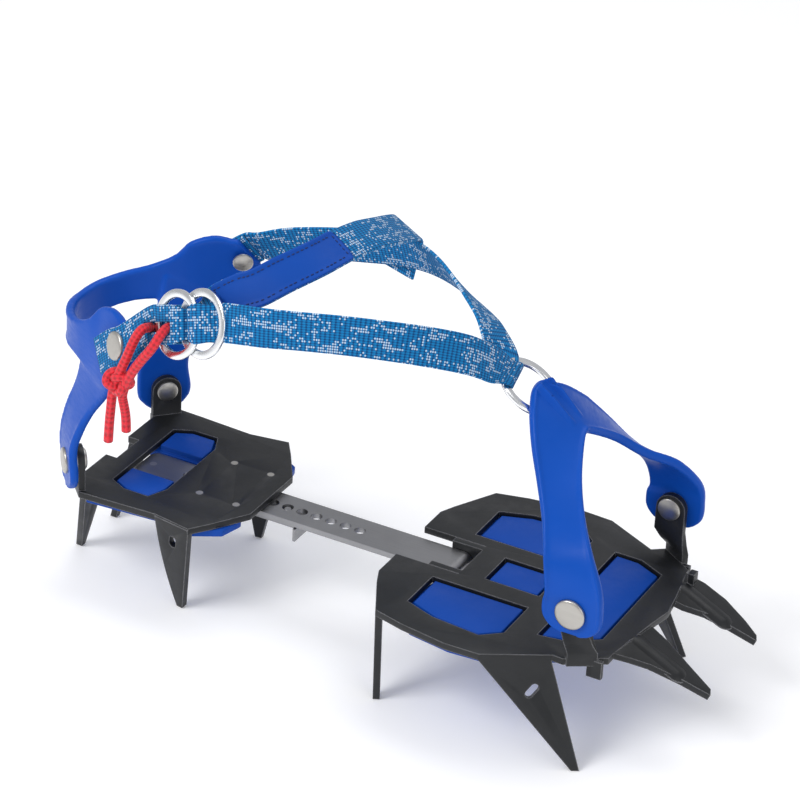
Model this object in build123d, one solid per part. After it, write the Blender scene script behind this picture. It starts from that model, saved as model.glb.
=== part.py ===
"""Ten-point strap-on crampon for a right boot, in the shape it has when worn.

Two pressed steel frames carry the points and are joined by a flat bar that sets the
length.  Flexible baskets at toe and heel hold the boot, and one webbing strap runs
from the inner heel through the instep ring to a double-ring buckle on the outer side.

Working frame, in millimetres: x runs from the rear points to the toe, y to the inner
side of the foot, z up from the tips of the points.  At export everything moves by
ORIGIN, so that the origin is under the middle of the whole object.
"""
from build123d import *
import os
from math import hypot, tan, radians

ORIGIN = Vector(147.975, -5.094, 0.0)

# ---- driving dimensions
TIP_TO_PLATE = 43.0          # underside of the frames above the ground
PLATE_T = 3.0                # pressed spring steel
PLATE_TOP = TIP_TO_PLATE + PLATE_T
BLADE_FALL = 0.42            # the front points fall this much per mm forwards
BLADE_X = 266.0              # where they bend down from the plate

HEEL_Y = -2.0                # centre line of the heel
TOE_Y = 2.0                  # centre line of the toe basket
BAR_Y = -2.0                 # centre line of the link bar

BAR_W, BAR_T, BAR_TOP = 18.0, 2.5, 42.7
BAR_REAR, BAR_PIVOT_X = 26.0, 178.0
BAR_EYE_R, PIN_R = 3.9, 2.4
BAR_HOLE_R, BAR_PITCH = 2.5, 7.0
STOP_INSET, STOP_R = 5.0, 1.6
BAR_PIVOT_Z = BAR_TOP - BAR_EYE_R
EAR_GAP = 9.3                # from the bar's centre line to the pivot ears
PEG_X = 98.0
LEAF_RIVETS_X, LEAF_RIVET_R = (62.0, 74.0), 1.2

BASKET_T = 3.5
TOE_AXIS_X, TOE_AXIS_Z = 252.4, 68.2
TOE_LUG_OUT = 46.5           # outer face of the toe lugs from TOE_Y
HEEL_RIVET = Vector(14.6, -38.6, 58.0)
HEEL_FACING = Vector(-0.72, -0.69, 0).normalized()

RING_R, RING_BORE, RING_T = 14.3, 10.8, 1.8
WASHER_T = 0.7
WEB_W, WEB_T = 16.0, 1.5
CORD_R = 2.0
GAP = 0.3
TOE_STACK = 0.8              # thin washer and play between a toe lug and the basket

GUIDE = (58.0, 86.0)         # the bar's guide: from, to in x
GUIDE_T, GUIDE_FLANGE, GUIDE_RIVET_R = 1.6, 7.4, 1.5
GUIDE_FLOOR = BAR_TOP - BAR_T - GAP - GUIDE_T

# the double-ring buckle: ring A's centre, the strap's direction and its outward normal
BUCKLE = Vector(75.1, -56.3, 149.0)
ALONG = Vector(0.882, -0.2547, 0.397).normalized()
OUTWARD = Vector(-0.3805, -0.8812, 0.2804).normalized()
ACROSS = ALONG.cross(OUTWARD)
RING_STEP = 13.2             # ring B lies this far ahead of ring A

# the toe basket's apex: its middle, its slope forwards and its outward normal
APEX = Vector(219.3, TOE_Y, 127.2)
APEX_F = Vector(0.83, 0, -0.555).normalized()
APEX_N = Vector(0.555, 0, 0.83).normalized()
FRONT_RING = APEX + APEX_F * -15.2 + APEX_N * -3.2 + Vector(0, -1, 0)


# ---- shape helpers
def outline(points, z, height):
    """A flat plate with this outline, from z up."""
    return Pos(0, 0, z) * extrude(make_face(Polyline(*points, close=True)), height)


def box_between(low, high):
    size = [h - l for l, h in zip(low, high)]
    middle = [(h + l) / 2 for l, h in zip(low, high)]
    return Pos(*middle) * Box(*size)


def rod(centre, axis, radius, length):
    """A round bar centred on a point."""
    return Plane(origin=centre, z_dir=axis) * Cylinder(radius, length)


def strip(stations, thickness):
    """A band along stations of (point, outward normal, width) and, where it is fixed, the direction."""
    points = [Vector(*s[0]) for s in stations]
    wires = []
    for i, (_, normal, width, *direction) in enumerate(stations):
        tangent = (points[min(i + 1, len(points) - 1)] - points[max(i - 1, 0)]).normalized()
        if direction:
            tangent = Vector(*direction[0])
        normal = Vector(*normal)
        normal = (normal - tangent * normal.dot(tangent)).normalized()
        across = tangent.cross(normal) * (width / 2)
        up = normal * (thickness / 2)
        p = points[i]
        wires.append(Wire.make_polygon([p + across + up, p - across + up, p - across - up, p + across - up]))
    return Solid.make_loft(wires, ruled=True)


def opposite(stations, y):
    """The same stations on the other side, in the order that carries on from these."""
    far = []
    for (px, py, pz), (nx, ny, nz), width, *direction in reversed(stations):
        turned = [(d[0], d[1], -d[2]) for d in direction]
        far.append(((px, 2 * y - py, pz), (nx, -ny, nz), width, *turned))
    return far


def mirrored(shape, y):
    return mirror(shape, about=Plane(origin=(0, y, 0), z_dir=(0, 1, 0)))


def mirrored_points(points, y):
    return [(px, 2 * y - py) for px, py in reversed(points)]


def tooth(rear, front, tip, tip_width, outward, slot=None, crease=None, bow=0.0):
    """A point bent down from the plate's edge rear-front, with its slot and its pressed crease.

    slot is (share along the top edge, share towards the tip, length, width).
    """
    rear, front, tip = Vector(*rear, TIP_TO_PLATE), Vector(*front, TIP_TO_PLATE), Vector(*tip, 0)
    face_n = (front - rear).cross(tip - rear).normalized()
    if face_n.dot(Vector(*outward)) < 0:
        face_n = -face_n
    plane = Plane(origin=rear, x_dir=front - rear, z_dir=face_n)
    tip_l = plane.to_local_coords(tip)
    width = (front - rear).length
    down = 1 if tip_l.Y > 0 else -1
    top = -down * (PLATE_T - 0.8)
    root = (0, 0)
    end_rear = (tip_l.X - tip_width / 2, tip_l.Y)
    end_front = (tip_l.X + tip_width / 2, tip_l.Y)
    length = hypot(*end_rear)
    middle_x = end_rear[0] / 2 - bow * abs(end_rear[1]) / length
    middle_y = end_rear[1] / 2 - down * bow * end_rear[0] / length
    edge = Line(root, end_rear) if bow == 0 else ThreePointArc(root, (middle_x, middle_y), end_rear)
    face = make_face([Polyline(end_rear, end_front, (width, 0), (width, top), (0, top), root), edge])
    body = extrude(face, -PLATE_T)
    angle = Vector(1, 0).get_signed_angle(Vector(*end_rear))
    if slot:
        along, towards, slot_l, slot_w = slot
        at = (along * width + towards * tip_l.X, towards * tip_l.Y)
        hole = extrude(Rot(0, 0, angle) * SlotOverall(slot_l, slot_w), PLATE_T, both=True)
        body -= Pos(at[0], at[1], -PLATE_T / 2) * hole
    if crease:
        inset, crease_l = crease
        groove = Rot(0, 0, angle) * Pos(crease_l / 2, -down * inset) * SlotOverall(crease_l, 0.9)
        body -= Pos(0, 0, -0.5) * extrude(groove, 1.0)
    return plane * body


def ring(centre, normal):
    body = Cylinder(RING_R, RING_T) - Cylinder(RING_BORE, RING_T)
    body = fillet(body.edges(), 0.45)
    return Plane(origin=centre, z_dir=normal) * body


def rivet(face_centre, outward, head_r, head_t, shank_r, grip, tail_r, tail_t):
    """One rivet: domed head outside, shank through the stack, pressed tail inside."""
    head = fillet(Cylinder(head_r, head_t).edges().sort_by(Axis.Z)[-1], head_t * 0.6)
    head = Pos(0, 0, head_t / 2) * head
    shank = Pos(0, 0, -grip / 2) * Cylinder(shank_r, grip)
    tail = Pos(0, 0, -grip - tail_t / 2) * Cylinder(tail_r, tail_t)
    return Plane(origin=face_centre, z_dir=outward) * (head + shank + tail)


def washer(face_centre, outward, outer_r, bore_r, thickness):
    ring_body = Cylinder(outer_r, thickness) - Cylinder(bore_r, thickness)
    return Plane(origin=face_centre, z_dir=outward) * Pos(0, 0, -thickness / 2) * ring_body


def cord_tube(points):
    """A tube of straight runs and tangent arcs, each arc as large as its runs allow."""
    vectors = [Vector(*p) for p in points]
    radii = []
    for before, corner, after in zip(vectors, vectors[1:], vectors[2:]):
        shorter = min((corner - before).length, (after - corner).length)
        turn = (corner - before).get_angle(after - corner)
        radii.append(0.45 * shorter / tan(radians(turn / 2)))
    path = FilletPolyline(*vectors, radius=radii)
    start = Plane(origin=path @ 0, z_dir=path % 0)
    return sweep(start * Circle(CORD_R), path=path)


def buckle_plane(offset=0.0):
    """Plane of a cut across the buckle: x along the strap, y outwards."""
    return Plane(origin=BUCKLE + ACROSS * offset, x_dir=ALONG, z_dir=ALONG.cross(OUTWARD))


# ---- the steel frames
C_REAR, C_FRONT, C_TIP = (160.0, -37.2), (170.0, -56.8), (168.4, -52.0)
D_REAR, D_FRONT, D_TIP = (220.4, -63.3), (245.7, -48.1), (262.7, -55.0)
E_REAR, E_FRONT, E_TIP = (222.0, 58.0), (245.7, 46.0), (265.0, 46.0)
A_REAR, A_FRONT, A_TIP = (12.6, -12.0), (12.6, -31.0), (1.5, -16.0)
B_REAR, B_FRONT, B_TIP = (56.2, -41.7), (74.0, -44.7), (65.9, -36.5)
FRONT_MID_Y = -2.6           # centre line of the rear part of the front frame
THROUGH_PLATE = (40.0, 10.0)  # a cut through a frame's plate: from z, height


def front_blade(points):
    """One front point: a flat blade that falls from the plate, with a pressed rib."""
    fall = Vector(1, 0, -BLADE_FALL).normalized()
    plane = Plane(origin=(BLADE_X, 0, PLATE_TOP), x_dir=fall, z_dir=(BLADE_FALL, 0, 1))
    stretch = Vector(1, 0, -BLADE_FALL).length
    local = [((px - BLADE_X) * stretch, py) for px, py in points]
    blade = extrude(make_face(Polyline(*local, close=True)), -PLATE_T)
    tip = ((local[4][0] + local[5][0]) / 2, (local[4][1] + local[5][1]) / 2)
    root_y = (local[0][1] + local[-1][1]) / 2
    lean = Vector(1, 0).get_signed_angle(Vector(tip[0], tip[1] - root_y))
    rib = Rot(0, 90, 0) * Cylinder(6.2, 20) + Pos(10, 0, 0) * Sphere(6.2) + Pos(-10, 0, 0) * Sphere(6.2)
    rib = Pos(0, 0, -4.9) * rib - Pos(0, 0, -51.2) * Box(100, 100, 100)
    rib = Pos(tip[0] * 0.36, root_y + (tip[1] - root_y) * 0.36, 0) * Rot(0, 0, lean) * rib
    return plane * (blade + rib)


def toe_lug(side):
    """The twisted lug that holds a toe rivet; side is -1 outer, +1 inner."""
    outer = TOE_LUG_OUT
    foot = [Vector(256.6, -43.9, 0), Vector(0.84, 0.54, 0).normalized(), 12.5]
    across = foot[1] * (foot[2] / 2)
    thick = Vector(foot[1].Y, -foot[1].X, 0) * (PLATE_T / 2)

    def wire(z, mix):
        a = across * (1 - mix) + Vector(6.5, 0, 0) * mix
        t = thick * (1 - mix) + Vector(0, -PLATE_T / 2, 0) * mix
        lift = Vector(foot[0].X, foot[0].Y, z)
        high = Vector(TOE_AXIS_X + 0.4, TOE_Y - outer + PLATE_T / 2, z)
        c = lift * (1 - mix) + high * mix
        return Wire.make_polygon([c + a + t, c - a + t, c - a - t, c + a - t])

    base = extrude(Face(wire(TIP_TO_PLATE, 0)), 6.0, dir=(0, 0, 1))
    turned = 57.5            # the lug has turned to face outwards from here up
    turns = [wire(TIP_TO_PLATE + 6.0, 0), wire(TIP_TO_PLATE + 9.5, 0.5), wire(turned, 1)]
    twist = Solid.make_loft(turns, ruled=True)
    flat = box_between((TOE_AXIS_X - 6.1, TOE_Y - outer, turned),
                       (TOE_AXIS_X + 6.9, TOE_Y - outer + PLATE_T, TOE_AXIS_Z))
    top = rod((TOE_AXIS_X + 0.4, TOE_Y - outer + PLATE_T / 2, TOE_AXIS_Z), (0, 1, 0), 6.5, PLATE_T)
    lug = base + twist + flat + top
    lug -= rod((TOE_AXIS_X, TOE_Y - outer, TOE_AXIS_Z), (0, 1, 0), 3.0, 20)
    return lug if side < 0 else mirrored(lug, TOE_Y)


def above_ground(body):
    return body - box_between((-50, -100, -20), (350, 100, 0))


def front_frame():
    near = [(157, -30), C_REAR, C_FRONT, (184, -60.5), (205, -63.8), D_REAR, D_FRONT,
            (250.5, -48.2), (266, -38.2), (266, -34)]
    far = [(266, 37), (266, 39.5), (250.5, 49.8), E_FRONT, E_REAR, (206, 58.8), (184, 55.3),
           (170, 51.6), (160, 32), (157, 25)]
    nose = [(270, -4.5), (272, 6.0), (270, 18.5)]
    body = outline(near + nose + far, TIP_TO_PLATE, PLATE_T)
    bar_notch = [(150, BAR_Y - 12.6), (186, BAR_Y - 12.6), (186, BAR_Y + 12.6), (150, BAR_Y + 12.6)]
    side = [(178, -22), (178, -44), (192, -49), (214, -51), (222, -44), (222, -22)]
    toe = [(234, -22), (234, -38), (246, -36), (258, -27), (258, 30), (246, 36), (234, 36), (234, 18)]
    middle = [(197, -12), (222, -12), (222, 7), (197, 7)]
    for window in (bar_notch, side, mirrored_points(side, FRONT_MID_Y), toe, middle):
        body -= outline(window, *THROUGH_PLATE)
    # outer and inner points
    body += tooth(D_REAR, D_FRONT, D_TIP, 3.4, (0.5, -0.85, 0), (0.369, 0.273, 6.6, 3.2), (4.6, 18.0))
    body += tooth(E_FRONT, E_REAR, E_TIP, 3.4, (0.45, 0.89, 0), (0.63, 0.273, 6.6, 3.2))
    body += tooth(C_REAR, C_FRONT, C_TIP, 3.4, (-0.89, -0.45, 0), (0.3, 0.25, 6.0, 3.2))
    far_tip, far_front, far_rear = mirrored_points((C_REAR, C_FRONT, C_TIP), FRONT_MID_Y)
    body += tooth(far_front, far_rear, far_tip, 3.4, (-0.89, 0.45, 0), (0.45, 0.25, 6.0, 3.2))
    # front points
    body += front_blade([(266, -34), (272, -29.8), (279, -25.6), (292, -21.2), (303.2, -18.6),
                         (301.8, -15.3), (290.4, -11.3), (278.1, -6.7), (266, -4.5)])
    body += front_blade([(266, 16), (274, 18.5), (282, 23.3), (291, 25.8), (303.2, 28.2),
                         (301.8, 31.2), (295.2, 34.6), (284, 38.5), (274, 39.0), (266, 37)])
    # clip tabs that hold the anti-balling plate, bent down from the edge
    body += box_between((258.5, -42.6, 37.5), (265.0, -40.6, 45.5))
    body += box_between((258.5, 42.2, 37.5), (265.0, 44.2, 45.5))
    body += box_between((269.0, 31.0, 45.0), (272.0, 35.0, 50.0))
    # ears for the bar's pivot
    for y in (BAR_Y - EAR_GAP - PLATE_T, BAR_Y + EAR_GAP):
        ear = box_between((BAR_PIVOT_X - 6, y, BAR_PIVOT_Z), (190, y + PLATE_T, PLATE_TOP))
        ear += rod((BAR_PIVOT_X, y + PLATE_T / 2, BAR_PIVOT_Z), (0, 1, 0), 6.0, PLATE_T)
        body += ear
    body -= rod((BAR_PIVOT_X, BAR_Y, BAR_PIVOT_Z), (0, 1, 0), PIN_R, 60)
    return above_ground(body) + toe_lug(-1) + toe_lug(1)


def heel_lug():
    """The upright that holds a heel rivet, on the plate's rear corner."""
    side = Vector(-HEEL_FACING.Y, HEEL_FACING.X, 0)
    plane = Plane(origin=(HEEL_RIVET.X, HEEL_RIVET.Y, TIP_TO_PLATE), x_dir=side, z_dir=HEEL_FACING)
    rise = HEEL_RIVET.Z - TIP_TO_PLATE
    up = 1 if plane.to_local_coords(HEEL_RIVET).Y > 0 else -1
    flat = Pos(0, up * rise / 2, 0) * Rectangle(13, rise) + Pos(0, up * rise, 0) * Circle(6.5)
    lug = plane * extrude(flat - Pos(0, up * rise, 0) * Circle(2.5), -PLATE_T)
    return lug


def heel_frame():
    near = [(12.6, -31.4), (9.9, -33.6), (19.4, -43.6), (30, -43.2), B_REAR, B_FRONT, (80, -36), (90, -20)]
    far = mirrored_points(near, HEEL_Y)
    body = outline(near + far, TIP_TO_PLATE, PLATE_T)
    window = [(26, -12), (26, -27), (34, -31), (46, -31), (50, -22),
              (50, 18), (46, 27), (34, 27), (26, 23), (26, 8)]
    rear_notch = [(10, -11), (18, -11), (18, 7), (10, 7)]
    body = body - outline(window, *THROUGH_PLATE) - outline(rear_notch, *THROUGH_PLATE)
    body += heel_lug() + mirrored(heel_lug(), HEEL_Y)
    a = tooth(A_REAR, A_FRONT, A_TIP, 2.6, (-1, 0, 0), (0.36, 0.22, 6.0, 3.0))
    b = tooth(B_REAR, B_FRONT, B_TIP, 3.0, (0, -1, 0), (0.397, 0.181, 6.0, 3.4), bow=1.6)
    for x, y in guide_rivet_places():
        body -= rod((x, y, PLATE_TOP), (0, 0, 1), GUIDE_RIVET_R, 20)
    return above_ground(body + a + b + mirrored(a, HEEL_Y) + mirrored(b, HEEL_Y))


# ---- link bar and its fittings
def link_bar():
    low = BAR_TOP - BAR_T
    bar = box_between((BAR_REAR, BAR_Y - BAR_W / 2, low), (BAR_PIVOT_X, BAR_Y + BAR_W / 2, BAR_TOP))
    bar = fillet(bar.edges().filter_by(Axis.Z).sort_by(Axis.X)[:2], 4)
    bar += rod((BAR_PIVOT_X, BAR_Y, BAR_PIVOT_Z), (0, 1, 0), BAR_EYE_R, BAR_W)
    bar -= rod((BAR_PIVOT_X, BAR_Y, BAR_PIVOT_Z), (0, 1, 0), PIN_R + 0.1, 60)
    for k in range(-7, 6):
        bar -= rod((PEG_X + k * BAR_PITCH, BAR_Y, low), (0, 0, 1), BAR_HOLE_R, 20)
    return bar - rod((BAR_REAR + STOP_INSET, BAR_Y, low), (0, 0, 1), STOP_R, 20)


def pivot_pin():
    reach, head_r, head_t = EAR_GAP + PLATE_T, 4.2, 1.6
    pin = rod((BAR_PIVOT_X, BAR_Y, BAR_PIVOT_Z), (0, 1, 0), PIN_R, 2 * reach)
    for y in (BAR_Y - reach - head_t / 2, BAR_Y + reach + head_t / 2):
        pin += rod((BAR_PIVOT_X, y, BAR_PIVOT_Z), (0, 1, 0), head_r, head_t)
    return pin


def bar_guide():
    """Pressed channel under the heel plate that the bar slides in."""
    half = BAR_W / 2 + GAP
    outer = half + GUIDE_T
    inside = GUIDE_FLOOR + GUIDE_T
    body = box_between((GUIDE[0], BAR_Y - outer, GUIDE_FLOOR), (GUIDE[1], BAR_Y + outer, TIP_TO_PLATE))
    body -= box_between((GUIDE[0] - 1, BAR_Y - half, inside), (GUIDE[1] + 1, BAR_Y + half, TIP_TO_PLATE + 1))
    for y in (BAR_Y - outer - GUIDE_FLANGE, BAR_Y + outer):
        body += box_between((GUIDE[0], y, TIP_TO_PLATE - GUIDE_T), (GUIDE[1], y + GUIDE_FLANGE, TIP_TO_PLATE))
    for x, y in guide_rivet_places():
        body -= rod((x, y, TIP_TO_PLATE), (0, 0, 1), GUIDE_RIVET_R, 10)
    for x in LEAF_RIVETS_X:
        body -= rod((x, BAR_Y, inside - 1), (0, 0, 1), LEAF_RIVET_R, 3.0)
    return body


def guide_rivet_places():
    half = BAR_W / 2 + GAP
    return [(x, y) for x in (GUIDE[0] + 5, GUIDE[1] - 5) for y in (BAR_Y - half - 5.4, BAR_Y + half + 5.4)]


def guide_rivets():
    """Four rivets through the guide's flanges and the heel plate."""
    group = []
    for x, y in guide_rivet_places():
        shank = rod((x, y, PLATE_TOP - 2.4), (0, 0, 1), GUIDE_RIVET_R, 4.8)
        group.append(shank + rod((x, y, 40.6), (0, 0, 1), 2.9, 1.6))
    return group


def detent_spring():
    """Leaf spring under the guide, with the peg that clicks into the bar's holes."""
    floor = GUIDE_FLOOR
    leaf = box_between((59, BAR_Y - 6, floor - 0.9), (106, BAR_Y + 6, floor))
    lip = box_between((105, BAR_Y - 8, floor - 6), (106.2, BAR_Y + 8, floor))
    peg = rod((PEG_X, BAR_Y, (floor + BAR_TOP - 0.6) / 2), (0, 0, 1), 2.1, BAR_TOP - 0.6 - floor)
    peg = chamfer(peg.edges().sort_by(Axis.Z)[-1], 0.7)
    body = leaf + lip + peg
    for x in LEAF_RIVETS_X:
        body -= rod((x, BAR_Y, floor), (0, 0, 1), LEAF_RIVET_R, 5)
    return body


def detent_rivets():
    group = []
    for x in LEAF_RIVETS_X:
        shank = rod((x, BAR_Y, GUIDE_FLOOR + 0.3), (0, 0, 1), LEAF_RIVET_R, 2.4)
        group.append(shank + rod((x, BAR_Y, GUIDE_FLOOR - 1.4), (0, 0, 1), 2.4, 1.0))
    return group


def bar_stop():
    """Rivet in the bar's rear end that keeps it from leaving the guide."""
    low = BAR_TOP - BAR_T
    x = BAR_REAR + STOP_INSET
    shank = rod((x, BAR_Y, low + BAR_T / 2), (0, 0, 1), STOP_R, BAR_T)
    return shank + rod((x, BAR_Y, low - 1.2), (0, 0, 1), 3.6, 2.4)


def antiball(points, holes, lands):
    """Flexible plate under a steel frame, with lands that rise through the frame's windows."""
    body = outline(points, 39.3, 3.4)
    for hole in holes:
        body -= outline(hole, 30, 30)
    for land in lands:
        body += outline(land, 42.0, 3.4)
    return body


def front_antiball():
    edge = [(190, -19), (178, -21), (174, -46), (186, -57), (205, -60), (219, -59), (247, -42.5),
            (256, -38.5), (264, -32), (264, 35), (256, 41), (246, 42.5), (222, 52.5), (206, 54.5),
            (186, 51.5), (174, 41), (178, 16), (190, 14)]
    side = [(180, -23.5), (180, -42.5), (192.5, -47.3), (213, -49.3), (220.5, -43), (220.5, -23.5)]
    toe = [(235.5, -20), (235.5, -36), (245.5, -34), (256.5, -26),
           (256.5, 29), (245.5, 34.3), (235.5, 34.5), (235.5, 16)]
    rear = [(198.5, -10.5), (220.5, -10.5), (220.5, 5.5), (198.5, 5.5)]
    return antiball(edge, [], [side, mirrored_points(side, FRONT_MID_Y), toe, rear])


def heel_antiball():
    near = [(16.6, -13), (16.6, -32), (21, -40.2), (54, -37.4), (73, -39.8), (84, -33), (86.5, -23)]
    half = BAR_W / 2 + GAP + GUIDE_T + GUIDE_FLANGE + 1.0
    hole = [(10, BAR_Y - 10.2), (56, BAR_Y - 10.2), (56, BAR_Y - half), (95, BAR_Y - half),
            (95, BAR_Y + half), (56, BAR_Y + half), (56, BAR_Y + 10.2), (10, BAR_Y + 10.2)]
    left = [(27.5, -13.5), (27.5, -26), (34.5, -29.5), (45.5, -29.5), (48.5, -21.5), (48.5, -13.5)]
    return antiball(near + mirrored_points(near, HEEL_Y), [hole], [left, mirrored_points(left, HEEL_Y)])


# ---- baskets
TOE_LEG = [((252.4, -47.05, 68.2), (0, -1, 0), 27, (0, 0, 1)), ((252.2, -46.9, 79), (0.06, -0.99, 0.08), 23.5),
           ((246.8, -43.6, 90.5), (0.22, -0.86, 0.40), 19), ((239.2, -33.2, 100), (0.34, -0.62, 0.68), 17.5),
           ((231.2, -22.2, 110), (0.42, -0.40, 0.80), 19), ((224.2, -12.0, 119.6), (0.5, -0.2, 0.84), 23.5),
           ((220.6, -5.0, 125.6), (0.55, -0.05, 0.83), 27), (tuple(APEX), tuple(APEX_N), 29, (0, 1, 0))]
LEAN_IN, LEAN_MID, LEAN_SPAN = 3.6, 95.0, 15.5  # how far, around which height, over how much of it


def leaned_in(stations):
    """The inner leg's stations, drawn in towards the foot between the lug and the instep."""
    drawn = []
    for (px, py, pz), *rest in stations:
        inset = LEAN_IN * max(0.0, 1 - ((pz - LEAN_MID) / LEAN_SPAN) ** 2)
        drawn.append(((px, py - inset, pz), *rest))
    return drawn


def toe_basket():
    body = strip(TOE_LEG + leaned_in(opposite(TOE_LEG[:-1], TOE_Y)), BASKET_T)
    inner_face = TOE_Y - TOE_LUG_OUT - TOE_STACK
    end = Plane(origin=(TOE_AXIS_X, inner_face, TOE_AXIS_Z), x_dir=(1, 0, 0), z_dir=(0, -1, 0))
    end = end * extrude(SlotOverall(TOE_LEG[0][2], 20), BASKET_T)
    body += end + mirrored(end, TOE_Y)
    swept = Cylinder(RING_R + 0.5, 2.8) - Cylinder(RING_BORE - 0.5, 2.8)
    body -= Plane(origin=FRONT_RING, z_dir=APEX_N) * swept
    body -= rod((TOE_AXIS_X, TOE_Y, TOE_AXIS_Z), (0, 1, 0), 3.3, 200)
    # under the apex, the fold that the ring hangs in: a groove, and a loop round the ring's front
    under = Plane(origin=APEX, x_dir=APEX_F, z_dir=APEX_N)
    groove = under * Pos(-2.4, -1, -1.5) * Box(5.2, 13, 1.2)
    fold = under * Pos(-3.2, 0, -4.3) * Box(11.4, 9, 5.4) - under * Pos(-3.0, 0, -3.4) * Box(7.0, 20, 4.0)
    return (body - groove) + fold


BAND = [((-5.5, HEEL_Y, 109), (-1, 0, 0), 15, (0, -1, 0)), ((-3.5, -13, 110), (-0.93, -0.36, 0), 15),
        ((3, -24, 111.5), (-0.78, -0.62, 0), 15), ((12, -32, 113), (-0.66, -0.75, 0), 17),
        ((22, -38, 115), (-0.6, -0.8, 0.05), 24), ((30.5, -42.6, 118.4), (-0.57, -0.80, 0.15), 34),
        ((38, -46.6, 122.8), (-0.55, -0.81, 0.19), 33), ((43.6, -48.8, 125.8), (-0.5, -0.84, 0.2), 28),
        ((50, -50.5, 130.5), (-0.47, -0.85, 0.22), 16)]
HEEL_FOOT = HEEL_RIVET + HEEL_FACING * (WASHER_T + BASKET_T / 2)
HEEL_LEG = [(tuple(HEEL_FOOT), tuple(HEEL_FACING), 23.6), ((12.2, -40.0, 68), (-0.73, -0.68, 0), 23),
            ((15.0, -39.5, 79), (-0.72, -0.69, 0), 22.5), ((19.2, -39.0, 90), (-0.70, -0.70, 0), 23),
            ((24, -40.2, 101), (-0.64, -0.76, 0), 27), ((28, -42, 111), (-0.6, -0.8, 0), 32)]
STRAP_RIVET = Vector(43.3, -53.3, 128.2)  # on the webbing's outer face
STRAP_FACING = Vector(-0.50, -0.84, 0.20).normalized()


def heel_basket():
    body = strip(opposite(BAND[1:], HEEL_Y) + BAND, BASKET_T)
    leg = strip(HEEL_LEG, BASKET_T)
    end = Plane(origin=HEEL_RIVET, z_dir=HEEL_FACING)
    leg += end * Pos(0, 0, WASHER_T + BASKET_T / 2) * Cylinder(12.5, BASKET_T)
    body += leg
    body += mirrored(leg, HEEL_Y)
    for pin in heel_rivets() + strap_rivets():
        body -= pin
    return body


# ---- the strap
HEEL_TAB = [((33.2, -49.1, 118.5), (-0.58, -0.81, 0.10)), ((36.9, -50.3, 122.2), (-0.55, -0.82, 0.16)),
            ((41.8, -52.0, 126.5), (-0.50, -0.84, 0.20)), ((48.3, -53.8, 131.2), (-0.47, -0.85, 0.22))]
LABEL_W, LABEL_T = 15.0, 0.9
TAB_END = 5.8                # the tab's fold, along the buckle from ring A's centre
NARROW = 12.0                # the webbing's width where it turns through a ring
FOLD_AWAY = Vector(-0.811, -0.213, 0.544).normalized()
MAIN = [((116.5, -61.7, 162.2), (-0.16, -0.95, 0.24)), ((131.3, -58.5, 163.6), (0.1, -0.97, 0.20)),
        ((147.1, -53.0, 164.0), (0.22, -0.94, 0.25)), ((161.7, -46.0, 162.9), (0.32, -0.90, 0.30)),
        ((175.5, -36.5, 160.0), (0.40, -0.80, 0.42)), ((186.8, -26.0, 155.4), (0.42, -0.70, 0.56)),
        ((192.5, -17.5, 150.0), (0.42, -0.60, 0.68))]
INNER = [((184.1, 9.0, 147.5), (0.35, 0.45, 0.82)), ((174.0, 17.0, 151.3), (0.30, 0.60, 0.75)),
         ((150, 31, 156), (0.20, 0.85, 0.50)), ((128, 41, 154.5), (0.1, 0.97, 0.2)),
         ((100, 46.5, 147.5), (0, 1, 0.1)), ((70, 50.0, 138.5), (-0.25, 0.96, 0.12)),
         ((54, 49.6, 132.6), (-0.45, 0.87, 0.20))]
INSTEP = [((99.5, -51.0, 168.0), (0.02, -0.89, 0.44)), ((106.5, -48.5, 171.5), (0.12, -0.86, 0.50)),
          ((113.7, -42.0, 176.3), (0.20, -0.78, 0.60)), ((121.8, -30.0, 180.4), (0.30, -0.62, 0.72)),
          ((126.7, -15.0, 181.5), (0.36, -0.42, 0.83)), ((130.5, -1.0, 180.7), (0.42, -0.12, 0.90)),
          ((132.8, 12.0, 177.4), (0.46, 0.28, 0.84)), ((131, 27, 172), (0.40, 0.65, 0.62)),
          ((127.2, 39.4, 166.0), (0.25, 0.88, 0.35)), ((123.4, 45.8, 156), (0.12, 0.97, 0.2)),
          ((121.6, 46.6, 150), (0.12, 0.98, 0.1))]


def buckle_point(along, out):
    return BUCKLE + ALONG * along + OUTWARD * out


def webbing(stations, thickness=WEB_T):
    return strip([(p, n, WEB_W) for p, n in stations], thickness)


def heel_tab():
    """Short loop of webbing that holds both rings, with a pocket for them and a slot for the cord."""
    start = (tuple(buckle_point(-21, 0)), tuple(OUTWARD), WEB_W, tuple(ALONG))
    out = 2.3                # half the pocket's height
    end = TAB_END
    loop = [(-21, -WEB_T), (-15.5, -out - WEB_T), (end - 2, -out - WEB_T), (end, -2), (end, 2),
            (end - 2, out + WEB_T), (-15.5, out + WEB_T), (-21, WEB_T)]
    pocket = [(-16.5, -0.3), (-14.7, -out), (end - 1.3, -out), (end - 1.3, out), (-14.7, out), (-16.5, 0.3)]
    body = buckle_plane() * extrude(make_face(Polyline(*loop, close=True)), WEB_W / 2, both=True)
    body -= buckle_plane() * extrude(make_face(Polyline(*pocket, close=True)), WEB_W, both=True)
    body -= corners(2.6, 8.0)
    body -= Plane(origin=buckle_point(-10.5, 3.2), x_dir=ALONG, z_dir=OUTWARD) * Box(19, 4.4, 4.0)
    body += strip([(p, n, WEB_W) for p, n in HEEL_TAB] + [start], 2 * WEB_T)
    return body - strap_rivets()[0]


def corners(low, high):
    """The strap's edges over this stretch of the buckle, outside the narrow part."""
    middle = buckle_point((low + high) / 2, 0)
    cutter = Box(high - low, WEB_W + 4, 14) - Box(high - low, NARROW, 14)
    return Plane(origin=middle, x_dir=ALONG, z_dir=OUTWARD) * cutter


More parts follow.
